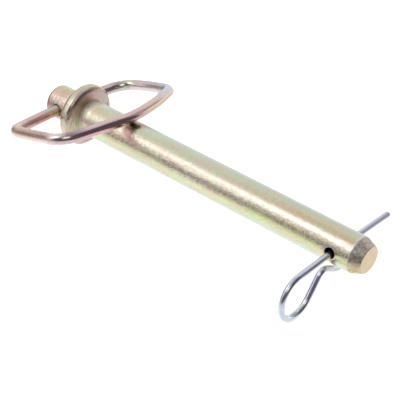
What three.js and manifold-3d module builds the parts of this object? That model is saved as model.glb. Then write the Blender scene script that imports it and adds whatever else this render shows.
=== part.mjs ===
// Hitch pin with a swinging wire handle and a spring retaining clip.
// Millimetres. +X runs along the pin from the head to the tip, +Z is the side the handle lies on,
// +Y runs along both cross holes. The origin is the centre of the flat end of the head.
import * as THREE from 'three';
import { mergeVertices } from 'three/addons/utils/BufferGeometryUtils.js';
import Module from 'manifold-3d';

// Pin: one forged bar with an upset collar.
const PIN_RADIUS = 9.525;
const SHANK_LENGTH = 180.9;
const TIP_CHAMFER_LENGTH = 6.1;
const TIP_FACE_RADIUS = 7.05;
const SEAT_FILLET = 0.5;
const COLLAR_RADIUS = 16.8;
const COLLAR_THICKNESS = 7.3;
const COLLAR_EDGE_RADIUS = 2.9;
const HEAD_RADIUS = 9.2;
const HEAD_LENGTH = 17.8;
const HEAD_EDGE_RADIUS = 2.3;
const HEAD_FILLET = 2.8;

// Cross holes, measured along the pin.
const PIVOT_FROM_END = 8.5;
const PIVOT_HOLE_RADIUS = 3.3;
const CLIP_HOLE_FROM_SEAT = 164.7;
const CLIP_HOLE_RADIUS = 2.8;

// Handle: one bent wire whose two ends turn in the head.
const HANDLE_WIRE_RADIUS = 3.0;
const HANDLE_END_GAP = 3.0;
const REST_GAP = 0.3;

// The handle's centreline in its own plane: across, along the pivot axis, and out, away from it.
// Each corner is rounded to its radius.
const HANDLE_CORNERS = [
  { across: -14, out: 0, radius: 20 },
  { across: -42.5, out: 2.8, radius: 6 },
  { across: -43.4, out: 40.7, radius: 11 },
  { across: 0, out: 49.9, radius: 45 },
  { across: 24, out: 44.2, radius: 60 },
  { across: 41.9, out: 36.8, radius: 6 },
  { across: 42.6, out: 22, radius: 60 },
  { across: 40.6, out: 2.2, radius: 12 },
  { across: 19, out: 0, radius: 30 },
];

// Clip: one spring wire, a straight leg through the pin and a wavy leg under it.
// The centreline's y and z are measured from the axis of the clip hole.
const CLIP_WIRE_RADIUS = 1.6;
const CLIP_LEG_TIP = { y: 39.4, z: 0.6 };
const CLIP_CORNERS = [
  { y: -9, z: -0.7, radius: 200 },
  { y: -42.8, z: -3.2, radius: 11.3 },
  { y: -42.9, z: -24.4, radius: 10.4 },
  { y: -24.9, z: -24.4, radius: 10.5 },
  { y: -13.2, z: -6.6, radius: 4.8 },
  { y: -0.6, z: -12.7, radius: 10 },
  { y: 7, z: -12.4, radius: 9 },
];
const CLIP_FREE_END = { y: 15, z: -17.2 };

// Facets.
const LATHE_SEGMENTS = 56;
const ARC_POINTS = 3;
const HOLE_SEGMENTS = 28;
const HANDLE_SIDES = 12;
const HANDLE_STEP = 2.3;
const CLIP_SIDES = 10;
const CLIP_STEP = 1.4;

const HOLE_MARGIN = 5;
const MERGE_DISTANCE = 1e-4;
const TILT_SAMPLES = 2000;
const COLLAR_REAR_X = HEAD_LENGTH;
const SEAT_X = COLLAR_REAR_X + COLLAR_THICKNESS;
const TIP_X = SEAT_X + SHANK_LENGTH;
const CLIP_HOLE_X = SEAT_X + CLIP_HOLE_FROM_SEAT;

const yellowZinc = new THREE.MeshStandardMaterial({ color: 0xc2ab74, roughness: 0.32, metalness: 1 });
const pinkZinc = new THREE.MeshStandardMaterial({ color: 0xb98f8a, roughness: 0.24, metalness: 1 });
const brightZinc = new THREE.MeshStandardMaterial({ color: 0xc9cede, roughness: 0.18, metalness: 1 });

const wasm = await Module();
wasm.setup();

function toSolid(geometry) {
  const bare = geometry.clone();
  bare.deleteAttribute('normal');
  bare.deleteAttribute('uv');
  const merged = mergeVertices(bare, MERGE_DISTANCE);
  const vertProperties = new Float32Array(merged.attributes.position.array);
  const triVerts = new Uint32Array(merged.index.array);
  return new wasm.Manifold(new wasm.Mesh({ numProp: 3, vertProperties, triVerts }));
}

function toGeometry(solid) {
  const mesh = solid.getMesh();
  const geometry = new THREE.BufferGeometry();
  geometry.setAttribute('position', new THREE.BufferAttribute(mesh.vertProperties, 3));
  geometry.setIndex(new THREE.BufferAttribute(mesh.triVerts, 1));
  geometry.computeVertexNormals();
  return geometry;
}

// A path through straight runs, each corner replaced by a circular arc of its radius.
function roundedPath(start, corners, end) {
  const points = [start, ...corners.map((corner) => corner.point), end];
  const path = new THREE.CurvePath();
  let from = start;
  corners.forEach(({ point, radius }, i) => {
    const back = points[i].clone().sub(point).normalize();
    const ahead = points[i + 2].clone().sub(point).normalize();
    const halfAngle = back.angleTo(ahead) / 2;
    const tangent = radius / Math.tan(halfAngle);
    const arcStart = point.clone().addScaledVector(back, tangent);
    const arcEnd = point.clone().addScaledVector(ahead, tangent);
    const inward = back.clone().add(ahead).normalize();
    const centre = point.clone().addScaledVector(inward, radius / Math.sin(halfAngle));
    path.add(new THREE.LineCurve3(from, arcStart));
    path.add(new ArcCurve(centre, arcStart, arcEnd));
    from = arcEnd;
  });
  path.add(new THREE.LineCurve3(from, end));
  return path;
}

// The shorter circular arc between two points at one distance from a centre.
class ArcCurve extends THREE.Curve {
  constructor(centre, start, end) {
    super();
    this.centre = centre;
    this.spokeStart = start.clone().sub(centre);
    this.spokeEnd = end.clone().sub(centre);
    this.angle = this.spokeStart.angleTo(this.spokeEnd);
  }

  getPoint(t, target = new THREE.Vector3()) {
    const startShare = Math.sin((1 - t) * this.angle) / Math.sin(this.angle);
    const endShare = Math.sin(t * this.angle) / Math.sin(this.angle);
    return target.copy(this.centre)
      .addScaledVector(this.spokeStart, startShare)
      .addScaledVector(this.spokeEnd, endShare);
  }
}

function wire(path, radius, sides, step) {
  const section = new THREE.Shape();
  for (let i = 0; i < sides; i += 1) {
    const angle = (2 * Math.PI * i) / sides;
    const x = radius * Math.cos(angle);
    const y = radius * Math.sin(angle);
    if (i === 0) section.moveTo(x, y);
    else section.lineTo(x, y);
  }
  section.closePath();
  const steps = Math.round(path.getLength() / step);
  return new THREE.ExtrudeGeometry(section, { steps, extrudePath: path, bevelEnabled: false });
}

function crossHole(x, radius) {
  const length = 2 * (COLLAR_RADIUS + HOLE_MARGIN);
  const drill = new THREE.CylinderGeometry(radius, radius, length, HOLE_SEGMENTS);
  drill.translate(x, 0, 0);
  return toSolid(drill);
}

// The turned outline, with the pin's axis as the profile's second coordinate.
function pinProfile() {
  const outline = new THREE.Path();
  const rearFilletRadius = HEAD_RADIUS + HEAD_FILLET;
  const rearFilletX = COLLAR_REAR_X - HEAD_FILLET;
  const rimRadius = COLLAR_RADIUS - COLLAR_EDGE_RADIUS;
  const seatFilletRadius = PIN_RADIUS + SEAT_FILLET;
  outline.moveTo(0, 0);
  outline.lineTo(HEAD_RADIUS - HEAD_EDGE_RADIUS, 0);
  outline.absarc(HEAD_RADIUS - HEAD_EDGE_RADIUS, HEAD_EDGE_RADIUS, HEAD_EDGE_RADIUS, -Math.PI / 2, 0);
  outline.lineTo(HEAD_RADIUS, rearFilletX);
  outline.absarc(rearFilletRadius, rearFilletX, HEAD_FILLET, Math.PI, Math.PI / 2, true);
  outline.lineTo(rimRadius, COLLAR_REAR_X);
  outline.absarc(rimRadius, COLLAR_REAR_X + COLLAR_EDGE_RADIUS, COLLAR_EDGE_RADIUS, -Math.PI / 2, 0);
  outline.lineTo(COLLAR_RADIUS, SEAT_X - COLLAR_EDGE_RADIUS);
  outline.absarc(rimRadius, SEAT_X - COLLAR_EDGE_RADIUS, COLLAR_EDGE_RADIUS, 0, Math.PI / 2);
  outline.lineTo(seatFilletRadius, SEAT_X);
  outline.absarc(seatFilletRadius, SEAT_X + SEAT_FILLET, SEAT_FILLET, -Math.PI / 2, -Math.PI, true);
  outline.lineTo(PIN_RADIUS, TIP_X - TIP_CHAMFER_LENGTH);
  outline.lineTo(TIP_FACE_RADIUS, TIP_X);
  outline.lineTo(0, TIP_X);
  return outline.getPoints(ARC_POINTS);
}

function pinBody() {
  const turned = new THREE.LatheGeometry(pinProfile(), LATHE_SEGMENTS);
  turned.rotateZ(-Math.PI / 2);
  const drilled = toSolid(turned)
    .subtract(crossHole(PIVOT_FROM_END, PIVOT_HOLE_RADIUS))
    .subtract(crossHole(CLIP_HOLE_X, CLIP_HOLE_RADIUS));
  return new THREE.Mesh(toGeometry(drilled), yellowZinc);
}

// The handle is drawn flat and tipped up until its grip lies on top of the shank.
function handle() {
  const point = ({ across, out }) => new THREE.Vector3(out, across, 0);
  const start = new THREE.Vector3(0, -HANDLE_END_GAP / 2, 0);
  const end = new THREE.Vector3(0, HANDLE_END_GAP / 2, 0);
  const corners = HANDLE_CORNERS.map((corner) => ({ point: point(corner), radius: corner.radius }));
  const path = roundedPath(start, corners, end);
  const tube = wire(path, HANDLE_WIRE_RADIUS, HANDLE_SIDES, HANDLE_STEP);
  const mesh = new THREE.Mesh(tube, pinkZinc);
  mesh.position.set(PIVOT_FROM_END, 0, 0);
  mesh.rotation.y = -handleTilt(path);
  return mesh;
}

// The lift of the grip wire over the shank, divided by the grip's reach above the pin's axis.
function handleTilt(path) {
  const samples = path.getSpacedPoints(TILT_SAMPLES);
  const overPin = samples.filter((p) => p.x > PIN_RADIUS);
  const reach = overPin.reduce((best, p) => (Math.abs(p.y) < Math.abs(best.y) ? p : best)).x;
  return Math.asin((PIN_RADIUS + HANDLE_WIRE_RADIUS + REST_GAP) / reach);
}

function clip() {
  const point = ({ y, z }) => new THREE.Vector3(0, y, z);
  const corners = CLIP_CORNERS.map((corner) => ({ point: point(corner), radius: corner.radius }));
  const path = roundedPath(point(CLIP_LEG_TIP), corners, point(CLIP_FREE_END));
  const mesh = new THREE.Mesh(wire(path, CLIP_WIRE_RADIUS, CLIP_SIDES, CLIP_STEP), brightZinc);
  mesh.position.set(CLIP_HOLE_X, 0, 0);
  return mesh;
}

const group = new THREE.Group();

const pin = pinBody();
pin.name = 'pin_body';
group.add(pin);

const swingHandle = handle();
swingHandle.name = 'swing_handle';
group.add(swingHandle);

const retainingClip = clip();
retainingClip.name = 'retaining_clip';
group.add(retainingClip);

export default group;
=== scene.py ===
"""Hitch pin with a swinging wire handle and a spring retaining clip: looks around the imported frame.

Sizes are in millimetres and become metres where a mesh is made. +X runs along the pin to its tip. The near
side is -Y, where the clip's loop is, and the handle lies on the +Z side.
"""

import math

import bpy
from mathutils import Matrix, Vector


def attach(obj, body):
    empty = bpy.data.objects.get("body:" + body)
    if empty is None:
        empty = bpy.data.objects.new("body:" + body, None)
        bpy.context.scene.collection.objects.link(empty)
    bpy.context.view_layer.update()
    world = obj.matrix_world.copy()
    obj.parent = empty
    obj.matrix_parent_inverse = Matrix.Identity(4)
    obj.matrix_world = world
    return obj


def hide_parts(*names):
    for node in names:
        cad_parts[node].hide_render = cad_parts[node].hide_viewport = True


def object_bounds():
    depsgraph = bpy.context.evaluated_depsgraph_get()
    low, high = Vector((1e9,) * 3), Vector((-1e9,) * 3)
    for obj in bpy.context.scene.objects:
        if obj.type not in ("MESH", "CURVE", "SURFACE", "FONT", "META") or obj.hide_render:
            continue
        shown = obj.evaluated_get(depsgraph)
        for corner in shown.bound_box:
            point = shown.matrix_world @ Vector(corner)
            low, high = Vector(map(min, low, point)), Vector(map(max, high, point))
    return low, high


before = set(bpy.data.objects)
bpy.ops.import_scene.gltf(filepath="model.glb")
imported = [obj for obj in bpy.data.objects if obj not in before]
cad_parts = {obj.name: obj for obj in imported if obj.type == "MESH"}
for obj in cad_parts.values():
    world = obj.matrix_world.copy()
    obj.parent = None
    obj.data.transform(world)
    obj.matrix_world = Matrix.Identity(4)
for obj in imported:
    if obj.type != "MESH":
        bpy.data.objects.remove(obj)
cad_low, cad_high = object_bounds()
scene = bpy.context.scene

MM = 0.001

# ---------------------------------------------------------------- camera, its place in metres

CAMERA_PLACE = (0.44098, -0.43345, 0.32506)
CAMERA_RIGHT = (0.75422, 0.65126, 0.08379)
CAMERA_UP = (-0.39940, 0.35373, 0.84579)
CAMERA_BACK = (0.52119, -0.67137, 0.52690)
CAMERA_LENS = 114.58
SENSOR_WIDTH = 36

camera_data = bpy.data.cameras.new("camera")
camera_data.lens = CAMERA_LENS
camera_data.sensor_width = SENSOR_WIDTH
camera = bpy.data.objects.new("camera", camera_data)
camera_axes = Matrix((CAMERA_RIGHT, CAMERA_UP, CAMERA_BACK)).transposed()
camera.matrix_world = Matrix.Translation(CAMERA_PLACE) @ camera_axes.to_4x4()
scene.collection.objects.link(camera)
scene.camera = camera

# ---------------------------------------------------------------- sizes, in millimetres

PIN_RADIUS = 9.525
SHANK_LENGTH = 180.9
TIP_CHAMFER_LENGTH = 6.1
TIP_FACE_RADIUS = 7.05
TIP_EDGE_RADIUS = 0.45
SEAT_FILLET = 0.5
COLLAR_RADIUS = 16.8
COLLAR_THICKNESS = 7.3
COLLAR_EDGE_RADIUS = 2.9
HEAD_RADIUS = 9.2
HEAD_LENGTH = 17.8
HEAD_EDGE_RADIUS = 2.3
HEAD_FILLET = 2.8
SEAT_X = HEAD_LENGTH + COLLAR_THICKNESS
TIP_X = SEAT_X + SHANK_LENGTH
CHAMFER_X = TIP_X - TIP_CHAMFER_LENGTH

PIVOT_X = 8.5
PIVOT_HOLE_RADIUS = 3.3
PIVOT_RIM = 0.4
CLIP_HOLE_FROM_SEAT = 164.7
CLIP_HOLE_X = SEAT_X + CLIP_HOLE_FROM_SEAT
CLIP_HOLE_RADIUS = 2.8
CLIP_RIM = 0.5

# The cross holes: place along the pin, radius, width of the rounded rim, and the bar's radius there.
HOLES = (
    (PIVOT_X, PIVOT_HOLE_RADIUS, PIVOT_RIM, HEAD_RADIUS),
    (CLIP_HOLE_X, CLIP_HOLE_RADIUS, CLIP_RIM, PIN_RADIUS),
)

# The handle's corners in its own plane: across the pin, out from the pivot, and the radius of the bend.
HANDLE_WIRE_RADIUS = 3.0
HANDLE_HALF_GAP = 1.5
HANDLE_END_ROUNDING = 0.3
REST_GAP = 0.3
HANDLE_CORNERS = (
    (-14, 0, 20), (-42.5, 2.8, 6), (-43.36, 40.7, 11), (0, 49.9, 45), (24, 44.2, 60),
    (41.9, 36.8, 6), (42.6, 22, 60), (40.6, 2.2, 12), (19, 0, 30),
)

# The clip's corners: y and z from the axis of its hole, and the radius of the bend.
CLIP_WIRE_RADIUS = 1.6
CLIP_END_ROUNDING = 0.12
CLIP_LEG_TIP = (39.4, 0.6)
CLIP_CORNERS = (
    (-9, -0.7, 200), (-42.8, -3.2, 11.3), (-42.9, -24.3, 10.4), (-24.9, -24.3, 10.5),
    (-13.2, -6.6, 4.8), (-0.6, -12.7, 10), (7, -12.4, 9),
)
CLIP_FREE_END = (15, -17.2)

# How finely the pieces are meshed: lengths, counts of rings, sides, rows and columns, and for the discs of
# a wire's cut end, shares of its radius.
ARC_STEP = math.radians(7)
FEWEST_ARC_STEPS = 3
SHORTEST_RUN = 1e-6
RUN_SUPPORT = 0.12
OUTLINE_STEP = 4
HANDLE_STEP = 1.5
HANDLE_SIDES = 40
CLIP_STEP = 1.0
CLIP_SIDES = 32
CUT_DISCS = (0.35, 0.75)
CUT_RINGS = 4
COLUMNS = 160
NEAR_COLUMN = COLUMNS // 4
HOLE_COLUMNS = 12
HOLE_ROWS = 12
HOLE_MARGIN = 0.75
HOLE_CLEARANCE = 0.05
ON_BAR = 0.01
LAND_RINGS = 4
RIM_RINGS = 6
BORE_RINGS = 10

# ---------------------------------------------------------------- shapes


def rounded_path(start, corners, end, longest):
    """Points and unit tangents of straight runs, cut to at most longest, and the arcs that join them.

    Each run has a point close to each of its ends, which keeps the smooth shading of the arcs off it.
    """
    nodes = [Vector(start)] + [Vector(corner[:2]) for corner in corners] + [Vector(end)]
    samples = []

    def run(a, b):
        length = (b - a).length
        if length < SHORTEST_RUN:
            return
        heading = (b - a) / length
        near = min(RUN_SUPPORT, length / 3)
        count = max(1, math.ceil((length - 2 * near) / longest))
        stops = [0, near] + [near + (length - 2 * near) * k / count for k in range(1, count + 1)]
        samples.extend((a + heading * stop, heading) for stop in stops)

    here = nodes[0]
    for i, (_, _, radius) in enumerate(corners):
        middle = nodes[i + 1]
        back = (nodes[i] - middle).normalized()
        ahead = (nodes[i + 2] - middle).normalized()
        half = back.angle(ahead) / 2
        reach = radius / math.tan(half)
        run(here, middle + back * reach)
        centre = middle + (back + ahead).normalized() * (radius / math.sin(half))
        bend = math.pi - 2 * half
        side = 1 if back.x * -ahead.y + back.y * ahead.x > 0 else -1
        spoke = middle + back * reach - centre
        count = max(FEWEST_ARC_STEPS, math.ceil(bend / ARC_STEP))
        for k in range(count):
            spin = Matrix.Rotation(side * bend * k / count, 2)
            samples.append((centre + spin @ spoke, (spin @ -back).normalized()))
        here = middle + ahead * reach
    run(here, nodes[-1])
    samples.append((nodes[-1], (nodes[-1] - here).normalized()))
    return samples


def finished_mesh(name, vertices, faces, body, node, slot):
    """A smooth-shaded piece in metres that stands for a CAD node."""
    mesh = bpy.data.meshes.new(name)
    mesh.from_pydata([tuple(c * MM for c in v) for v in vertices], [], faces)
    mesh.shade_smooth()
    piece = bpy.data.objects.new(name, mesh)
    scene.collection.objects.link(piece)
    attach(piece, body)
    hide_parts(node)
    return piece


def cut_end(ring, inward, end_rounding):
    """The rings of a wire's end: discs inside its flat face, then its rounded edge."""
    point, heading, along, radius = ring
    rings = [(point, heading, along, radius * share) for share in CUT_DISCS]
    for k in range(CUT_RINGS + 1):
        bow = math.pi / 2 * k / CUT_RINGS
        shift = end_rounding * (1 - math.cos(bow))
        size = radius - end_rounding * (1 - math.sin(bow))
        rings.append((point + inward * shift, heading, along, size))
    return rings


def swept_wire(path, place, normal, radius, sides, end_rounding):
    """A round wire along a flat path: its vertices, its faces and each vertex's place on the straight wire.

    place turns a point of the path into space, and normal is at right angles to the path's plane there.
    """
    rings = []
    along = 0
    last = path[0][0]
    for point, heading in path:
        along += (point - last).length
        last = point
        rings.append((point, heading, along, radius))
    first_cut = cut_end(rings[0], rings[0][1], end_rounding)
    last_cut = cut_end(rings[-1], -rings[-1][1], end_rounding)
    rings = first_cut + rings[2:-2] + last_cut[::-1]

    def across(point, heading):
        return place(point + Vector((-heading.y, heading.x))) - place(point)

    vertices, straight, faces = [], [], []
    for point, heading, along, size in rings:
        flat = across(point, heading)
        for j in range(sides):
            cosine, sine = math.cos(2 * math.pi * j / sides), math.sin(2 * math.pi * j / sides)
            vertices.append(place(point) + (flat * cosine + normal * sine) * size)
            straight.append((radius * cosine, radius * sine, along))
    for ring in range(0, (len(rings) - 1) * sides, sides):
        for j in range(sides):
            k = (j + 1) % sides
            faces.append((ring + j, ring + k, ring + sides + k, ring + sides + j))
    for ring, along, starts in ((0, rings[0][2], True), (len(vertices) - sides, rings[-1][2], False)):
        hub = len(vertices)
        vertices.append(sum(vertices[ring:ring + sides], Vector((0, 0, 0))) / sides)
        straight.append((0, 0, along))
        for j in range(ring, ring + sides):
            k = j + 1 if j + 1 < ring + sides else ring
            faces.append((hub, k, j) if starts else (hub, j, k))

    point, heading = path[0]
    forward = place(point + heading) - place(point)
    if forward.dot(across(point, heading).cross(normal)) < 0:
        faces = [face[::-1] for face in faces]
    return vertices, faces, straight


def add_straight(piece, straight):
    """Keeps each vertex's place on the straightened wire, in metres, for the material's drawn lines."""
    attribute = piece.data.attributes.new("straightened", "FLOAT_VECTOR", "POINT")
    attribute.data.foreach_set("vector", [c * MM for place in straight for c in place])


def pin_rows():
    """The turned outline as (x, radius) rows, and for each cross hole the first of the rows it takes up."""
    corners = (
        (0, HEAD_RADIUS, HEAD_EDGE_RADIUS),
        (HEAD_LENGTH, HEAD_RADIUS, HEAD_FILLET),
        (HEAD_LENGTH, COLLAR_RADIUS, COLLAR_EDGE_RADIUS),
        (SEAT_X, COLLAR_RADIUS, COLLAR_EDGE_RADIUS),
        (SEAT_X, PIN_RADIUS, SEAT_FILLET),
        (CHAMFER_X, PIN_RADIUS, TIP_EDGE_RADIUS),
        (TIP_X, TIP_FACE_RADIUS, TIP_EDGE_RADIUS),
    )
    outline = [tuple(point) for point, _ in rounded_path((0, 0), corners, (TIP_X, 0), OUTLINE_STEP)]
    starts = []
    for hole_x, hole_radius, rim, bar_radius in HOLES:
        half = hole_radius + rim + HOLE_MARGIN
        clear = half + HOLE_CLEARANCE
        kept = [p for p in outline if abs(p[0] - hole_x) > clear or p[1] < bar_radius - ON_BAR]
        before = [p for p in kept if p[0] < hole_x]
        after = [p for p in kept if p[0] >= hole_x]
        grid = [(hole_x + half * (k / HOLE_ROWS * 2 - 1), bar_radius) for k in range(HOLE_ROWS + 1)]
        outline = before + grid + after
        starts.append(len(before))
    return outline, starts


def around_hole(first_row):
    """The grid points round the square left open for a hole on the near side, as (row, column)."""
    low, high = first_row, first_row + HOLE_ROWS
    left, right = NEAR_COLUMN - HOLE_COLUMNS, NEAR_COLUMN + HOLE_COLUMNS
    loop = [(low, j) for j in range(left, right)]
    loop += [(i, right) for i in range(low, high)]
    loop += [(high, j) for j in range(right, left, -1)]
    loop += [(i, left) for i in range(high, low, -1)]
    return loop


def turned_bar(outline, starts):
    """The pin without its holes: its vertices, its faces and each grid point's vertex.

    The outline's two ends are on the axis, and the rows between them are numbered from 0.
    """
    rows = outline[1:-1]
    open_cells = set()
    for start in starts:
        for i in range(start - 1, start - 1 + HOLE_ROWS):
            for centre in (NEAR_COLUMN, COLUMNS - NEAR_COLUMN):
                open_cells.update((i, j) for j in range(centre - HOLE_COLUMNS, centre + HOLE_COLUMNS))

    vertices, faces = [], []
    index = {}
    for i, (x, radius) in enumerate(rows):
        for j in range(COLUMNS):
            if {(i - 1, j - 1), (i - 1, j), (i, j - 1), (i, j)} <= open_cells:
                continue
            angle = 2 * math.pi * j / COLUMNS
            index[i, j] = len(vertices)
            vertices.append(Vector((x, -radius * math.sin(angle), radius * math.cos(angle))))
    for i in range(len(rows) - 1):
        for j in range(COLUMNS):
            if (i, j) not in open_cells:
                k = (j + 1) % COLUMNS
                faces.append((index[i, j], index[i, k], index[i + 1, k], index[i + 1, j]))
    for (x, _), row, rear in ((outline[0], 0, True), (outline[-1], len(rows) - 1, False)):
        hub = len(vertices)
        vertices.append(Vector((x, 0, 0)))
        for j in range(COLUMNS):
            a, b = index[row, j], index[row, (j + 1) % COLUMNS]
            faces.append((hub, b, a) if rear else (hub, a, b))
    return vertices, faces, index


def mouth_rings(vertices, border, side, hole):
    """The rings of a hole's mouth, from the border of its grid over the rounded rim to the bore."""
    hole_x, hole_radius, rim, bar_radius = hole

    def ring(edge, depth, spread):
        """One ring. spread 1 is on the border, and 0 is at the distance edge from the hole's axis."""
        added = []
        for v in border:
            across, up = vertices[v].x - hole_x, vertices[v].z
            far = math.hypot(across, up)
            distance = edge + (far - edge) * spread
            x, z = across / far * distance, up / far * distance
            added.append(len(vertices))
            height = math.sqrt(bar_radius * bar_radius - z * z) - depth
            vertices.append(Vector((hole_x + x, side * height, z)))
        return added

    rings = [border]
    for k in range(1, LAND_RINGS + 1):
        rings.append(ring(hole_radius + rim, 0, 1 - k / LAND_RINGS))
    for k in range(1, RIM_RINGS + 1):
        bow = math.pi / 2 * k / RIM_RINGS
        rings.append(ring(hole_radius + rim * (1 - math.sin(bow)), rim * (1 - math.cos(bow)), 0))
    return rings


def drilled_pin():
    """The turned bar with its two cross holes: its vertices and its faces."""
    outline, starts = pin_rows()
    vertices, faces, index = turned_bar(outline, starts)
    for start, hole in zip(starts, HOLES):
        loop = around_hole(start - 1)
        far_border = [index[i, COLUMNS - j] for i, j in loop]
        near_mouth = mouth_rings(vertices, [index[i, j] for i, j in loop], -1, hole)
        far_mouth = mouth_rings(vertices, far_border, 1, hole)
        bore = [near_mouth[-1]]
        for k in range(1, BORE_RINGS):
            bore.append([])
            for a, b in zip(near_mouth[-1], far_mouth[-1]):
                bore[-1].append(len(vertices))
                vertices.append(vertices[a].lerp(vertices[b], k / BORE_RINGS))
        bore.append(far_mouth[-1])
        for rings, flip in ((near_mouth, False), (far_mouth, True), (bore, False)):
            for outer, inner in zip(rings, rings[1:]):
                for j in range(len(outer)):
                    k = (j + 1) % len(outer)
                    quad = (outer[j], inner[j], inner[k], outer[k])
                    faces.append(quad if flip else quad[::-1])
    return vertices, faces


def handle_tilt(path):
    """The angle that lays the handle's grip on the shank with the resting gap under it."""
    over = [point for point, _ in path if point.y > PIN_RADIUS]
    before = max((p for p in over if p.x <= 0), key=lambda p: p.x)
    after = min((p for p in over if p.x > 0), key=lambda p: p.x)
    reach = before.lerp(after, -before.x / (after.x - before.x)).y
    return math.asin((PIN_RADIUS + HANDLE_WIRE_RADIUS + REST_GAP) / reach)


def bent_handle():
    path = rounded_path((-HANDLE_HALF_GAP, 0), HANDLE_CORNERS, (HANDLE_HALF_GAP, 0), HANDLE_STEP)
    tilt = handle_tilt(path)
    normal = Vector((-math.sin(tilt), 0, math.cos(tilt)))

    def place(point):
        return Vector((PIVOT_X + point.y * math.cos(tilt), point.x, point.y * math.sin(tilt)))

    return swept_wire(path, place, normal, HANDLE_WIRE_RADIUS, HANDLE_SIDES, HANDLE_END_ROUNDING)


def bent_clip():
    path = rounded_path(CLIP_LEG_TIP, CLIP_CORNERS, CLIP_FREE_END, CLIP_STEP)

    def place(point):
        return Vector((CLIP_HOLE_X, point.x, point.y))

    return swept_wire(path, place, Vector((1, 0, 0)), CLIP_WIRE_RADIUS, CLIP_SIDES, CLIP_END_ROUNDING)


pin = finished_mesh("hitch_pin", *drilled_pin(), "pin", "pin_body", "yellow_zinc_pin")

*handle_mesh, handle_straight = bent_handle()
handle = finished_mesh("wire_handle", *handle_mesh, "handle", "swing_handle", "yellow_zinc_handle")
add_straight(handle, handle_straight)

*clip_mesh, clip_straight = bent_clip()
clip = finished_mesh("spring_clip", *clip_mesh, "clip", "retaining_clip", "bright_zinc_clip")
add_straight(clip, clip_straight)

# ---------------------------------------------------------------- materials


class Nodes:
    """Short names for the nodes of one tree. An argument is a number, a tuple or another node's output."""

    def __init__(self, tree):
        self.tree = tree
        tree.nodes.clear()

    def add(self, kind, **settings):
        node = self.tree.nodes.new(kind)
        for name, value in settings.items():
            setattr(node, name, value)
        return node

    def put(self, socket, value):
        if isinstance(value, bpy.types.NodeSocket):
            self.tree.links.new(value, socket)
        elif isinstance(value, tuple) and len(value) == 3 and socket.type == "RGBA":
            socket.default_value = (*value, 1)
        else:
            socket.default_value = value

    def math(self, operation, a, b=0.0, c=0.0):
        node = self.add("ShaderNodeMath", operation=operation)
        for socket, value in zip(node.inputs, (a, b, c)):
            self.put(socket, value)
        return node.outputs[0]

    def product(self, first, *others):
        for other in others:
            first = self.math("MULTIPLY", first, other)
        return first

    def vector(self, operation, a, b=(0, 0, 0)):
        node = self.add("ShaderNodeVectorMath", operation=operation)
        self.put(node.inputs[0], a)
        self.put(node.inputs[1], b)
        return node.outputs["Value" if operation in ("DOT_PRODUCT", "LENGTH") else "Vector"]

    def split(self, vector):
        node = self.add("ShaderNodeSeparateXYZ")
        self.put(node.inputs[0], vector)
        return node.outputs[0], node.outputs[1], node.outputs[2]

    def mix(self, share, a, b, blend="MIX"):
        node = self.add("ShaderNodeMix", data_type="RGBA", blend_type=blend)
        self.put(node.inputs["Factor"], share)
        self.put(node.inputs[6], a)
        self.put(node.inputs[7], b)
        return node.outputs[2]

    def noise(self, vector, scale, detail, roughness=0.5):
        node = self.add("ShaderNodeTexNoise")
        self.put(node.inputs["Vector"], vector)
        node.inputs["Scale"].default_value = scale
        node.inputs["Detail"].default_value = detail
        node.inputs["Roughness"].default_value = roughness
        return node.outputs["Fac"]

    def ramp(self, value, stops):
        node = self.add("ShaderNodeValToRGB")
        elements = node.color_ramp.elements
        while len(elements) < len(stops):
            elements.new(0.5)
        for element, (place, colour) in zip(elements, stops):
            element.position = place
            element.color = (*colour, 1)
        self.put(node.inputs[0], value)
        return node.outputs[0]

    def step(self, value, low, high, start=0.0, end=1.0):
        """A smooth change from start at low to end at high. low may be the larger one."""
        node = self.add("ShaderNodeMapRange", interpolation_type="SMOOTHSTEP")
        for socket, v in zip(node.inputs, (value, low, high, start, end)):
            self.put(socket, v)
        return node.outputs[0]

    def window(self, value, low, full_from, full_to, high):
        """1 from full_from to full_to, fading to 0 at low and at high."""
        return self.product(self.step(value, low, full_from), self.step(value, high, full_to))

    def wander(self, value, noise, reach):
        """The value moved by a noise from 0 to 1, over a stretch of reach centred on it."""
        return self.math("MULTIPLY_ADD", noise, reach, self.math("SUBTRACT", value, reach / 2))


class Metal(Nodes):
    """A metallic material on a piece. place is the surface point in metres."""

    def __init__(self, name, piece):
        material = bpy.data.materials.new(name)
        material.use_nodes = True
        super().__init__(material.node_tree)
        self.shader = self.add("ShaderNodeBsdfPrincipled")
        self.shader.inputs["Metallic"].default_value = 1
        output = self.add("ShaderNodeOutputMaterial")
        self.put(output.inputs["Surface"], self.shader.outputs[0])
        self.place = self.add("ShaderNodeTexCoord").outputs["Object"]
        piece.data.materials.append(material)

    def stretched(self, *stretch):
        """The surface point scaled along each axis. Noise is drawn out where the scale is small."""
        return self.vector("MULTIPLY", self.place, stretch)

    def straightened(self):
        """The place on the straightened wire, in metres: across it, above its middle and along it."""
        return self.add("ShaderNodeAttribute", attribute_name="straightened").outputs["Vector"]

    def finish(self, colour, roughness, relief, depth, strength):
        """Sets what varies over the surface. depth is the relief's, in millimetres."""
        bump = self.add("ShaderNodeBump")
        bump.inputs["Strength"].default_value = strength
        bump.inputs["Distance"].default_value = depth * MM
        self.put(bump.inputs["Height"], relief)
        self.put(self.shader.inputs["Base Color"], colour)
        self.put(self.shader.inputs["Roughness"], roughness)
        self.put(self.shader.inputs["Normal"], bump.outputs[0])


def turn(degrees):
    """The place on a ramp of an angle round the pin, in degrees: 0 is up and 90 is the near side."""
    return degrees / 360 + 0.5


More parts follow.
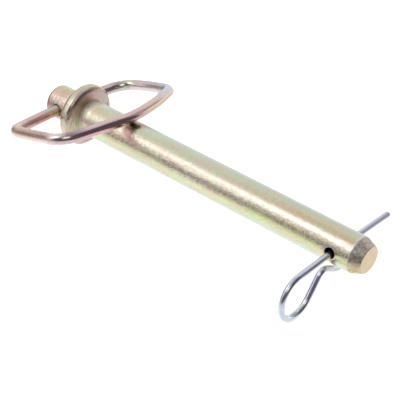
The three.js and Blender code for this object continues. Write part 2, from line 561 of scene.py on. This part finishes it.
# Yellow chromate on the pin: its colours run in bands round the bar, and they are stronger towards the tip.
# The collar's rim and band, the chamfer and the seat line also carry painted light and shade, as marked
# below.
FAR_SIDE = (
    (turn(-180), (0.88, 0.77, 0.62)), (turn(-150), (0.80, 0.84, 0.60)), (turn(-120), (0.74, 0.85, 0.74)),
    (turn(-92), (0.84, 0.80, 0.58)), (turn(-66), (0.80, 0.87, 0.68)),
)
NEAR_SIDE = (
    (turn(155), (0.84, 0.86, 0.66)), (turn(180), (0.88, 0.77, 0.62)),
)
MIDDLE_BANDS = FAR_SIDE + (
    (turn(-38), (0.81, 0.93, 0.84)), (turn(-8), (0.78, 0.91, 0.78)), (turn(10), (0.81, 0.88, 0.67)),
    (turn(26), (0.82, 0.81, 0.58)), (turn(42), (0.84, 0.79, 0.65)), (turn(57), (0.94, 0.89, 0.72)),
    (turn(72), (0.90, 0.83, 0.66)), (turn(80), (0.98, 0.93, 0.72)), (turn(88), (0.96, 0.95, 0.60)),
    (turn(104), (0.82, 0.88, 0.63)), (turn(116), (0.79, 0.85, 0.68)), (turn(132), (0.90, 0.96, 0.86)),
) + NEAR_SIDE
TIP_BANDS = FAR_SIDE + (
    (turn(-38), (0.74, 0.86, 0.78)), (turn(-8), (0.66, 0.77, 0.70)), (turn(8), (0.73, 0.79, 0.58)),
    (turn(22), (0.86, 0.76, 0.50)), (turn(34), (0.88, 0.70, 0.46)), (turn(46), (0.88, 0.76, 0.64)),
    (turn(56), (1.00, 0.96, 0.86)), (turn(66), (0.84, 0.79, 0.62)), (turn(76), (0.84, 0.79, 0.53)),
    (turn(94), (0.85, 0.97, 0.46)), (turn(110), (0.80, 0.90, 0.64)), (turn(132), (0.90, 0.97, 0.86)),
) + NEAR_SIDE
SEAT_BANDS = FAR_SIDE + (
    (turn(-24), (0.87, 0.92, 0.80)), (turn(-2), (0.85, 0.89, 0.68)), (turn(14), (0.86, 0.76, 0.52)),
    (turn(46), (0.90, 0.73, 0.54)), (turn(60), (1.00, 0.86, 0.70)), (turn(76), (0.92, 0.84, 0.72)),
    (turn(100), (0.86, 0.80, 0.62)), (turn(132), (0.90, 0.96, 0.86)),
) + NEAR_SIDE
HEAD_BANDS = (
    (turn(-180), (0.74, 0.58, 0.46)), (turn(-120), (0.78, 0.72, 0.52)), (turn(-70), (0.84, 0.80, 0.60)),
    (turn(-38), (0.88, 0.91, 0.74)), (turn(-14), (0.93, 0.93, 0.66)), (turn(2), (0.89, 0.82, 0.52)),
    (turn(20), (0.90, 0.72, 0.55)), (turn(42), (0.90, 0.68, 0.57)), (turn(64), (0.98, 0.80, 0.70)),
    (turn(82), (0.90, 0.62, 0.57)), (turn(105), (0.66, 0.45, 0.34)), (turn(125), (0.74, 0.58, 0.50)),
    (turn(155), (0.78, 0.66, 0.54)), (turn(180), (0.74, 0.58, 0.46)),
)
COLLAR_FACE = (
    (turn(-180), (1.00, 0.75, 0.74)), (turn(-70), (1.00, 0.86, 0.84)), (turn(-40), (1.00, 0.77, 0.75)),
    (turn(-10), (1.00, 0.70, 0.68)), (turn(14), (0.74, 0.48, 0.45)), (turn(42), (0.54, 0.41, 0.32)),
    (turn(75), (0.98, 0.75, 0.61)), (turn(110), (0.98, 0.79, 0.66)), (turn(135), (1.00, 0.76, 0.76)),
    (turn(180), (1.00, 0.75, 0.74)),
)
# Painted reflection on the collar's rounded front edge, over the chromate: a painted highlight about 15
# degrees round from the top, and a painted dark reflection about 46 degrees round.
COLLAR_RIM_PAINTED_REFLECTION = (
    (turn(-180), (0.70, 0.52, 0.50)), (turn(2), (0.62, 0.46, 0.38)), (turn(15), (1.00, 0.84, 0.74)),
    (turn(30), (0.94, 0.64, 0.64)), (turn(46), (0.46, 0.36, 0.33)), (turn(62), (0.58, 0.50, 0.44)),
    (turn(76), (0.80, 0.66, 0.54)), (turn(92), (0.84, 0.72, 0.60)), (turn(180), (0.70, 0.52, 0.50)),
)
# The collar's outer band: chromate tint, painted lighter and creamier from about 62 to 78 degrees round as
# a painted highlight.
COLLAR_BAND_TINT_AND_HIGHLIGHT = (
    (turn(-180), (0.78, 0.70, 0.56)), (turn(30), (0.78, 0.70, 0.56)), (turn(45), (0.88, 0.77, 0.62)),
    (turn(62), (1.00, 0.88, 0.70)), (turn(78), (1.00, 0.95, 0.84)), (turn(92), (0.82, 0.70, 0.57)),
    (turn(180), (0.78, 0.70, 0.56)),
)
# Painted light and shade round the chamfer, over its scale: lightest near the top, darker about 45 to 60
# degrees to either side.
CHAMFER_PAINTED_SHADING = (
    (turn(-180), (0.84, 0.84, 0.84)), (turn(-60), (0.70, 0.70, 0.70)), (turn(-35), (0.74, 0.74, 0.74)),
    (turn(-14), (0.98, 0.96, 1.00)), (turn(12), (0.98, 0.96, 0.90)), (turn(30), (0.84, 0.82, 0.76)),
    (turn(45), (0.70, 0.72, 0.72)), (turn(60), (0.84, 0.84, 0.86)), (turn(74), (0.80, 0.76, 0.66)),
    (turn(180), (0.84, 0.84, 0.84)),
)
# The thin line at the seat: painted shade in the corner above, green on the near side.
SEAT_CORNER_SHADE_AND_GREEN = (
    (turn(-180), (0.60, 0.56, 0.40)), (turn(-40), (0.40, 0.40, 0.26)), (turn(40), (0.42, 0.38, 0.24)),
    (turn(80), (0.42, 0.72, 0.42)), (turn(125), (0.42, 0.76, 0.46)), (turn(180), (0.60, 0.56, 0.40)),
)

# The blotchy scale on the chamfer, from its dark to its bright blotches.
SCALE_ABOVE = ((0.34, (0.41, 0.35, 0.32)), (0.50, (0.70, 0.62, 0.58)), (0.66, (1.00, 0.99, 0.95)))
SCALE_BELOW = ((0.34, (0.62, 0.53, 0.27)), (0.50, (0.86, 0.81, 0.45)), (0.66, (0.98, 0.96, 0.62)))

# Painted light on the shank just past the seat.
SEAT_PAINTED_LIGHT = (1.0, 0.98, 0.85)
# Painted light on the head towards its fillet.
FILLET_PAINTED_LIGHT = (1.0, 0.84, 0.72)
REAR_EDGE_TINT = (0.46, 0.40, 0.40)
STREAK_TINT = (0.58, 0.38, 0.33)
RUBBED_TINT = (0.46, 0.33, 0.26)
# Painted highlight on the chamfer's edge.
PAINTED_GLINT_TINT = (0.95, 0.94, 0.92)
PINK_BLUSH = (0.95, 0.68, 0.60)
GREEN_BLUSH = (0.66, 0.88, 0.62)
# Brown stains, and painted shade along the shank's dark reflected line.
STAIN_AND_DARK_LINE_TINT = (0.36, 0.29, 0.19)
SPECK_TINT = (0.50, 0.43, 0.33)
END_TINTS = (1.0, 0.76, 0.51), (0.95, 0.82, 0.58)
GRIP_SHADOW_TINT = (0.13, 0.15, 0.09)
HALO_TINTS = (0.96, 0.66, 0.50), (0.60, 0.46, 0.60)
BORE_PAINTED_SHADE = (0.05, 0.042, 0.055)
BORE_MOUTH_PAINTED_SHADE = (0.66, 0.62, 0.58)

# The middle of the painted shadow where the handle's grip rests, and how strongly each hole's mouth is
# tinted.
GRIP_SHADOW_MIDDLE = (59.2, -1.9, 9.3)
PIVOT_HALO = 0.15
CLIP_HALO = 0.65


class PinChromate(Metal):
    """Yellow chromate on the pin, with painted light and shade in places. x, y and z are in millimetres,
    and around is the place on a ramp.
    """

    def __init__(self, piece):
        super().__init__("yellow_chromate_pin", piece)
        self.x, self.y, self.z = (self.product(c, 1 / MM) for c in self.split(self.place))
        self.drift = self.noise(self.stretched(0.3, 1, 1), 60, 3)
        self.grain = self.noise(self.place, 1400, 4, 0.7)
        self.coarse = self.noise(self.stretched(0.6, 1, 1), 700, 2, 0.6)
        angle = self.math("ARCTAN2", self.product(self.y, -1), self.z)
        around = self.math("MULTIPLY_ADD", angle, 1 / (2 * math.pi), 0.5)
        self.around = self.wander(around, self.drift, 0.10)
        self.on_chamfer = self.step(self.x, CHAMFER_X - 0.1, CHAMFER_X + 0.5)

        colour = self.bands()
        for add_feature in (
            self.rear_edge, self.turned_streaks, self.rubbed_face, self.seat_line, self.chamfer, self.painted_glint,
            self.blushes, self.stains_and_dark_line, self.specks, self.end_face, self.grip_shadow, self.holes,
        ):
            colour = add_feature(colour)
        cut = self.cut_faces()
        roughness = self.math("ADD", self.step(self.grain, 0.3, 0.8, 0.17, 0.28), self.product(cut, 0.26))
        self.finish(colour, roughness, self.relief(cut), 0.13, 1.0)

    def shank(self):
        to_tip = self.step(self.wander(self.x, self.drift, 60), 100, 185)
        colour = self.mix(to_tip, self.ramp(self.around, MIDDLE_BANDS), self.ramp(self.around, TIP_BANDS))
        near_seat = self.step(self.wander(self.x, self.drift, 12), 46, 30)
        colour = self.mix(near_seat, colour, self.ramp(self.around, SEAT_BANDS))
        # Painted light: the shank just past the seat is painted nearly white, brightening it where it
        # reflects the collar's dark face.
        return self.mix(self.step(self.x, SEAT_X + 8, SEAT_X + 4, 0, 0.85), colour, SEAT_PAINTED_LIGHT)

    def head(self):
        # Painted light: from 10.5 mm on, the head is painted lighter, brightening it where it reflects the
        # collar's dark rear face.
        by_fillet = self.step(self.x, 10.5, 13.5, 0, 0.85)
        return self.mix(by_fillet, self.ramp(self.around, HEAD_BANDS), FILLET_PAINTED_LIGHT)

    def bands(self):
        """The shank, then the collar's face, band and rim, then the head, each over the ones before."""
        on_face = self.step(self.x, SEAT_X + 0.9, SEAT_X + 0.2)
        on_band = self.step(self.x, SEAT_X - 0.9, SEAT_X - 2.2)
        on_rim = self.window(self.x, SEAT_X - 2.2, SEAT_X - 1.2, SEAT_X - 0.5, SEAT_X)
        on_head = self.step(self.x, HEAD_LENGTH + 0.9, HEAD_LENGTH - 0.4)
        colour = self.mix(on_face, self.shank(), self.ramp(self.around, COLLAR_FACE))
        # Chromate on the collar's band, with a painted highlight.
        colour = self.mix(on_band, colour, self.ramp(self.around, COLLAR_BAND_TINT_AND_HIGHLIGHT))
        # Painted highlight and painted dark reflection on the collar's rounded front edge.
        colour = self.mix(on_rim, colour, self.ramp(self.around, COLLAR_RIM_PAINTED_REFLECTION))
        return self.mix(on_head, colour, self.head())

    def rear_edge(self, colour):
        """Dull grey with a ragged border over the head's rear edge."""
        ragged = self.wander(self.x, self.noise(self.place, 500, 2), 1.6)
        return self.mix(self.step(ragged, 3.0, 1.0, 0, 0.8), colour, REAR_EDGE_TINT)

    def turned_streaks(self, colour):
        """Red-brown streaks round the head, fading over the collar."""
        streak = self.noise(self.stretched(1, 0.15, 0.15), 1100, 2, 0.6)
        behind_face = self.step(self.x, SEAT_X - 1, HEAD_LENGTH)
        share = self.product(self.step(streak, 0.46, 0.64, 0, 0.42), behind_face)
        return self.mix(share, colour, STREAK_TINT)

    def rubbed_face(self, colour):
        """Brown upright streaks on the collar's face, below its top."""
        upright = self.noise(self.stretched(0.3, 1, 0.22), 800, 2, 0.6)
        below_top = self.step(self.z, 10, 2)
        on_face = self.window(self.x, SEAT_X - 0.6, SEAT_X - 0.1, SEAT_X + 0.2, SEAT_X + 0.5)
        share = self.product(self.step(upright, 0.46, 0.62, 0, 0.55), below_top, on_face)
        return self.mix(share, colour, RUBBED_TINT)

    def seat_line(self, colour):
        """A thin line where the shank leaves the collar: painted shade in the corner above, and green on
        the near side.
        """
        on_line = self.window(self.x, SEAT_X - 0.1, SEAT_X + 0.2, SEAT_X + 0.5, SEAT_X + 1.1)
        return self.mix(self.product(on_line, 0.6), colour, self.ramp(self.around, SEAT_CORNER_SHADE_AND_GREEN))

    def chamfer(self, colour):
        """Blotchy scale, brown to white above and yellow below; above, it is multiplied by painted light
        and shade that change round the chamfer.
        """
        scale = self.noise(self.place, 620, 3, 0.7)
        shades = self.ramp(self.around, CHAMFER_PAINTED_SHADING)
        above = self.mix(1.0, self.ramp(scale, SCALE_ABOVE), shades, "MULTIPLY")
        scaled = self.mix(self.step(self.z, 1.2, -2), above, self.ramp(scale, SCALE_BELOW))
        return self.mix(self.on_chamfer, colour, scaled)

    def painted_glint(self, colour):
        """A painted highlight along the upper part of the chamfer's edge."""
        from_edge = self.math("ABSOLUTE", self.math("SUBTRACT", self.x, CHAMFER_X))
        share = self.product(self.step(from_edge, 0.9, 0.2, 0, 0.75), self.step(self.z, 0, 3))
        return self.mix(share, colour, PAINTED_GLINT_TINT)

    def blushes(self, colour):
        """Soft pink and green patches on the shank."""
        on_shank = self.step(self.x, SEAT_X, SEAT_X + 2)
        pink = self.step(self.noise(self.stretched(0.5, 1, 1), 150, 3), 0.42, 0.66, 0, 0.42)
        colour = self.mix(self.product(pink, on_shank), colour, PINK_BLUSH)
        elsewhere = self.vector("ADD", self.place, (0.3, 0.1, 0.2))
        green = self.step(self.noise(elsewhere, 130, 3), 0.47, 0.70, 0, 0.30)
        return self.mix(self.product(green, on_shank), colour, GREEN_BLUSH)

    def stains_and_dark_line(self, colour):
        """Small brown stains over the shank, and many more along its near side, about 58 to 90 degrees
        round, that paint the grain of the dark reflected line there as painted shade.
        """
        mottle = self.noise(self.stretched(0.8, 1, 1), 1250, 2, 0.6)
        painted_dark_line = self.window(self.around, turn(58), turn(69), turn(79), turn(90))
        amount = self.math("MULTIPLY_ADD", painted_dark_line, 0.48, 0.08)
        past_seat = self.step(self.x, SEAT_X + 4, SEAT_X + 16)
        share = self.product(self.step(mottle, 0.44, 0.62), amount, past_seat)
        return self.mix(share, colour, STAIN_AND_DARK_LINE_TINT)

    def specks(self, colour):
        """Fine dark specks, fewer by the head's fillet and by the seat."""
        by_fillet = self.window(self.x, 10.5, 13.5, HEAD_LENGTH - 0.5, HEAD_LENGTH + 0.5)
        by_seat = self.window(self.x, SEAT_X - 0.5, SEAT_X, SEAT_X + 5, SEAT_X + 9)
        amount = self.math("MULTIPLY_ADD", self.math("ADD", by_fillet, by_seat), -0.75, 1.0)
        share = self.product(self.step(self.grain, 0.38, 0.75, 0, 0.34), amount)
        return self.mix(share, colour, SPECK_TINT)

    def end_face(self, colour):
        tint = self.mix(self.step(self.noise(self.place, 170, 2), 0.4, 0.6), *END_TINTS)
        return self.mix(self.step(self.x, TIP_X - 0.25, TIP_X - 0.05), colour, tint)

    def grip_shadow(self, colour):
        """A painted contact shadow and dark reflection of the handle's grip, with a ragged border, on the
        shank where the grip rests.
        """
        offset = self.vector("SUBTRACT", self.place, tuple(c * MM for c in GRIP_SHADOW_MIDDLE))
        distance = self.product(self.vector("LENGTH", offset), 1 / MM)
        ragged = self.wander(distance, self.coarse, -5.5)
        return self.mix(self.step(ragged, 4.2, 1.2, 0, 0.82), colour, GRIP_SHADOW_TINT)

    def holes(self, colour):
        """A tint with a ragged border round each hole's mouths, peach above and darker violet below, and
        painted shade inside each bore.
        """
        halo_tint = self.mix(self.step(self.z, -1.5, 1.0), *HALO_TINTS)
        # Painted shade inside each bore, darkest deep in and lighter towards its mouths.
        bore = self.mix(self.step(self.math("ABSOLUTE", self.y), 3, 8.5), BORE_PAINTED_SHADE, BORE_MOUTH_PAINTED_SHADE)
        for hole_x, radius, strength in (
            (PIVOT_X, PIVOT_HOLE_RADIUS, PIVOT_HALO), (CLIP_HOLE_X, CLIP_HOLE_RADIUS, CLIP_HALO),
        ):
            off = self.math("SUBTRACT", self.x, hole_x)
            squared = self.math("ADD", self.product(off, off), self.product(self.z, self.z))
            distance = self.math("SQRT", squared)
            ragged = self.wander(distance, self.coarse, -3)
            colour = self.mix(self.step(ragged, radius + 2.6, radius + 0.4, 0, strength), colour, halo_tint)
            colour = self.mix(self.step(distance, radius + 0.12, radius + 0.01), colour, bore)
        return colour

    def cut_faces(self):
        """1 on the chamfer and 0.8 by the seat, where the cut metal was left coarse."""
        on_slope = self.product(self.on_chamfer, self.step(self.x, TIP_X - 0.05, TIP_X - 0.3))
        by_seat = self.window(self.x, SEAT_X - 0.4, SEAT_X, SEAT_X + 3, SEAT_X + 6.5)
        return self.math("MAXIMUM", on_slope, self.product(by_seat, 0.8))

    def relief(self, cut):
        """Grain, lines turned round the head, lines drawn along the bar, and coarser cut faces."""
        turned = self.noise(self.stretched(1, 0.03, 0.03), 2600, 2, 0.6)
        turned = self.product(turned, self.step(self.x, SEAT_X, HEAD_LENGTH - 2))
        drawn = self.noise(self.stretched(0.06, 1, 1), 1500, 3, 0.6)
        lines = self.math("MULTIPLY_ADD", turned, 0.5, self.product(drawn, 0.25))
        fine = self.math("MULTIPLY_ADD", self.grain, 0.5, lines)
        coarseness = self.math("MULTIPLY_ADD", cut, 1.6, 0.9)
        return self.math("ADD", fine, self.product(self.coarse, coarseness))


PinChromate(pin)

# Yellow chromate on the handle, with painted light and shade. Its colours change along the wire, in
# millimetres from its end on the near side, and from its top to its underside. The underside is painted
# lighter as reflected floor light, and the near grip bend has a painted highlight at 73 mm and painted
# shade from 79 to 84 mm.
HANDLE_LENGTH = 237.0
HANDLE_TOP = (
    (0, (0.60, 0.58, 0.50)), (9, (0.68, 0.66, 0.58)), (14, (0.74, 0.68, 0.62)), (18, (0.88, 0.66, 0.66)),
    (30, (0.92, 0.62, 0.62)), (37, (1.00, 0.88, 0.76)), (45, (1.00, 0.78, 0.66)), (65, (0.90, 0.64, 0.58)),
    (73, (0.96, 0.93, 0.93)), (76, (0.92, 0.82, 0.82)), (79, (0.50, 0.38, 0.41)), (84, (0.58, 0.44, 0.48)),
    (90, (0.90, 0.70, 0.72)), (98, (0.92, 0.70, 0.74)), (118, (0.92, 0.66, 0.66)),
    (132, (0.94, 0.75, 0.67)), (142, (0.88, 0.78, 0.75)), (150, (0.88, 0.86, 0.95)),
    (162, (0.86, 0.90, 1.00)), (168, (0.76, 0.73, 0.77)), (174, (0.84, 0.69, 0.70)),
    (184, (0.87, 0.66, 0.70)), (192, (0.84, 0.81, 0.66)), (199, (0.66, 0.61, 0.59)),
    (206, (0.86, 0.64, 0.68)), (237, (0.62, 0.60, 0.50)),
)
HANDLE_UNDERSIDE = (
    (0, (0.60, 0.56, 0.48)), (8, (0.58, 0.52, 0.34)), (13, (0.62, 0.53, 0.36)), (18, (0.74, 0.47, 0.46)),
    (24, (0.82, 0.52, 0.54)), (34, (0.96, 0.72, 0.64)), (44, (1.00, 0.82, 0.70)), (56, (0.98, 0.76, 0.66)),
    (66, (0.99, 0.80, 0.78)), (80, (0.94, 0.72, 0.76)), (92, (1.00, 0.64, 0.74)),
    (112, (1.00, 0.64, 0.72)), (124, (0.94, 0.66, 0.62)), (132, (0.90, 0.68, 0.53)),
    (140, (0.92, 0.75, 0.59)), (150, (0.86, 0.68, 0.56)), (160, (0.86, 0.76, 0.74)),
    (168, (0.84, 0.76, 0.80)), (186, (0.88, 0.82, 0.82)), (195, (0.84, 0.84, 0.76)),
    (206, (0.88, 0.72, 0.76)), (237, (0.62, 0.58, 0.50)),
)
PAINTED_CORE_SHADE = (0.48, 0.25, 0.25)
DUST_TINTS = (0.42, 0.38, 0.26), (0.46, 0.28, 0.26)


def along_wire(stops, length):
    """Stops at millimetres along a wire, as stops at shares of its length."""
    return tuple((place / length, colour) for place, colour in stops)


def painted_dark_core(metal, height, along):
    """A painted dark line of shade along the flanks of the near arm, from past the pivot, with a gap at the
    bend.
    """
    from_bend = metal.math("ABSOLUTE", metal.math("SUBTRACT", along, 0.17))
    return metal.product(
        metal.window(height, -0.15, 0.15, 0.50, 0.80),
        metal.step(along, 0.30, 0.26, 0, 0.4),
        metal.step(along, 0.055, 0.085),
        metal.step(from_bend, 0.02, 0.045),
    )


def handle_chromate(piece):
    """along is a share of the wire's length, and height runs from -1 at its underside to 1 on top."""
    metal = Metal("yellow_chromate_handle", piece)
    straight = metal.straightened()
    _, height, along = metal.split(straight)
    drift = metal.noise(metal.place, 120, 3)
    along = metal.wander(metal.product(along, 1 / (HANDLE_LENGTH * MM)), drift, 0.03)
    height = metal.product(height, 1 / (HANDLE_WIRE_RADIUS * MM))
    # The underside is painted lighter as reflected floor light; the top carries the painted highlight and
    # shade of the near grip bend.
    on_top = metal.step(metal.wander(height, drift, 0.5), 0.30, 0.80)
    underside = metal.ramp(along, along_wire(HANDLE_UNDERSIDE, HANDLE_LENGTH))
    colour = metal.mix(on_top, underside, metal.ramp(along, along_wire(HANDLE_TOP, HANDLE_LENGTH)))
    # Painted shade: the dark line along the near arm's flank.
    colour = metal.mix(painted_dark_core(metal, height, along), colour, PAINTED_CORE_SHADE)
    grain = metal.noise(metal.place, 1500, 3, 0.6)
    dust_tint = metal.mix(metal.step(along, 0.05, 0.08), *DUST_TINTS)
    colour = metal.mix(metal.step(grain, 0.42, 0.75, 0, 0.45), colour, dust_tint)
    drawn = metal.noise(metal.vector("MULTIPLY", straight, (1, 1, 0.04)), 2400, 3, 0.6)
    duller_arm = metal.math("MULTIPLY_ADD", metal.step(along, 0.36, 0.28), 0.10, 0.13)
    roughness = metal.math("ADD", duller_arm, metal.step(drawn, 0.3, 0.7, 0, 0.10))
    metal.finish(colour, roughness, metal.math("MULTIPLY_ADD", grain, 0.6, drawn), 0.04, 0.5)


handle_chromate(handle)

# Bright zinc on the clip. Its shades change along the wire, in millimetres from the straight leg's tip, and
# round the bottom of the loop they are painted lighter as reflected floor light.
CLIP_LENGTH = 165.0
CLIP_SHADES = (
    (0, (0.72, 0.72, 0.88)), (20, (0.80, 0.82, 0.98)), (36, (0.76, 0.80, 0.82)), (48, (0.77, 0.82, 0.79)),
    (56, (0.81, 0.84, 0.98)), (70, (0.79, 0.82, 1.00)), (80, (0.92, 0.92, 1.00)), (90, (0.84, 0.91, 1.00)),
    (100, (0.86, 0.99, 1.00)), (108, (0.86, 0.95, 1.00)), (116, (0.92, 0.93, 1.00)),
    (124, (0.78, 0.78, 0.99)), (132, (0.86, 0.90, 1.00)), (140, (0.86, 0.85, 0.84)),
    (165, (0.88, 0.90, 0.96)),
)
VIOLET_BLUSH = (0.76, 0.73, 1.00)


def clip_zinc(piece):
    metal = Metal("bright_zinc_clip", piece)
    straight = metal.straightened()
    along = metal.product(metal.split(straight)[2], 1 / (CLIP_LENGTH * MM))
    # Painted light: round the bottom of the loop the shades are lighter, as reflected floor light.
    colour = metal.ramp(along, along_wire(CLIP_SHADES, CLIP_LENGTH))
    patches = metal.step(metal.noise(metal.place, 260, 3), 0.42, 0.68, 0, 0.35)
    colour = metal.mix(patches, colour, VIOLET_BLUSH)
    drawn = metal.noise(metal.vector("MULTIPLY", straight, (1, 1, 0.04)), 3500, 3, 0.6)
    metal.finish(colour, metal.step(drawn, 0.3, 0.7, 0.16, 0.26), drawn, 0.02, 0.4)


clip_zinc(clip)

# ---------------------------------------------------------------- floor, in metres

FLOOR_HALF = 3.0
FLOOR_DROP = 0.0002
FLOOR_GREY = 0.92

floor_mesh = bpy.data.meshes.new("floor")
floor_corners = [(FLOOR_HALF * x, FLOOR_HALF * y, 0) for x, y in ((-1, -1), (1, -1), (1, 1), (-1, 1))]
floor_mesh.from_pydata(floor_corners, [], [(0, 1, 2, 3)])
floor = bpy.data.objects.new("floor", floor_mesh)
floor.location.z = cad_low.z - FLOOR_DROP
scene.collection.objects.link(floor)
floor_material = bpy.data.materials.new("floor")
floor_material.use_nodes = True
floor_shader = floor_material.node_tree.nodes["Principled BSDF"]
floor_shader.inputs["Base Color"].default_value = (FLOOR_GREY, FLOOR_GREY, FLOOR_GREY, 1)
floor_shader.inputs["Roughness"].default_value = 0.9
floor_mesh.materials.append(floor_material)
floor.visible_glossy = False

# ---------------------------------------------------------------- studio light, angles in degrees

WALLS = 0.74
CEILING = 0.45
CEILING_FROM = 70
GROUND = 0.74
GROUND_EXTRA = 0.24
GROUND_BELOW = -32
STRIP_GLOW = 1.16
HOT_SPOT = 2.4
LAMP = 1.3
EVEN_LIGHT = 2.0

# Soft rectangles of the walls: azimuth, half width and its softness, lowest and highest elevation and their
# softness, then brightness. Each one covers the ones before.
PANELS = (
    (62.5, 80, 11, -16, 66, 10, 0.085),
    (157, 14, 10, -10, 50, 12, 0.38),
    (180, 35, 14, -12, 10, 6, 0.95),
    (-62, 48, 18, -16, 7, 5, 0.40),
    (-75, 30, 6, -10, 24, 8, 0.28),
)

world = bpy.data.worlds.new("studio")
world.use_nodes = True
world.cycles.sampling_method = "NONE"
scene.world = world
sky = Nodes(world.node_tree)
heading = sky.vector("NORMALIZE", sky.add("ShaderNodeTexCoord").outputs["Generated"])
level = sky.vector("NORMALIZE", sky.vector("MULTIPLY", heading, (1, 1, 0)))
sideways, _, rise = sky.split(heading)


def aim(azimuth, elevation=0.0):
    """The direction at an azimuth from -Y towards +X and an elevation."""
    a, e = math.radians(azimuth), math.radians(elevation)
    return (math.sin(a) * math.cos(e), -math.cos(a) * math.cos(e), math.sin(e))


def towards(seen, target, half, soft):
    """1 where a direction is within half of the target and 0 outside, fading over soft to each side."""
    facing = sky.vector("DOT_PRODUCT", seen, target)
    return sky.step(facing, math.cos(math.radians(half + soft)), math.cos(math.radians(half - soft)))


def above(elevation, soft):
    low, high = math.radians(elevation - soft), math.radians(elevation + soft)
    return sky.step(rise, math.sin(low), math.sin(high))


def panel(azimuth, half, soft, low, high, soft_height):
    belt = sky.math("SUBTRACT", above(low, soft_height), above(high, soft_height))
    return sky.product(towards(level, aim(azimuth), half, soft), belt)


def cover(glow, share, value):
    """The glow, with this share of it taken over by another value."""
    return sky.math("MULTIPLY_ADD", share, sky.math("SUBTRACT", value, glow), glow)


def background(colour, strength):
    shader = sky.add("ShaderNodeBackground")
    sky.put(shader.inputs["Color"], colour)
    shader.inputs["Strength"].default_value = strength
    return shader.outputs[0]


glow = cover(WALLS, above(CEILING_FROM, 12), CEILING)
for *shape, brightness in PANELS:
    glow = cover(glow, panel(*shape), brightness)
ground = sky.math("MULTIPLY_ADD", towards(level, aim(-95), 75, 40), GROUND_EXTRA, GROUND)
glow = cover(glow, sky.math("SUBTRACT", 1, above(GROUND_BELOW, 10)), ground)
strip = sky.product(
    sky.window(sideways, -0.68, -0.60, -0.44, -0.34),
    sky.math("SUBTRACT", above(15, 4), above(51, 7)),
    towards(level, aim(-41), 60, 10),
)
glow = cover(glow, strip, STRIP_GLOW)
glow = cover(glow, towards(heading, aim(-30, 47), 9, 3), HOT_SPOT)
glow = cover(glow, towards(heading, aim(40, 45), 14.5, 4.5), LAMP)

# Reflections see the studio, and everything else is lit evenly.
choice = sky.add("ShaderNodeMixShader")
sky.put(choice.inputs[0], sky.add("ShaderNodeLightPath").outputs["Is Glossy Ray"])
sky.put(choice.inputs[1], background((1, 1, 1), EVEN_LIGHT))
sky.put(choice.inputs[2], background(glow, 1.0))
sky.put(sky.add("ShaderNodeOutputWorld").inputs["Surface"], choice.outputs[0])

scene.view_settings.view_transform = "Standard"
scene.view_settings.look = "None"
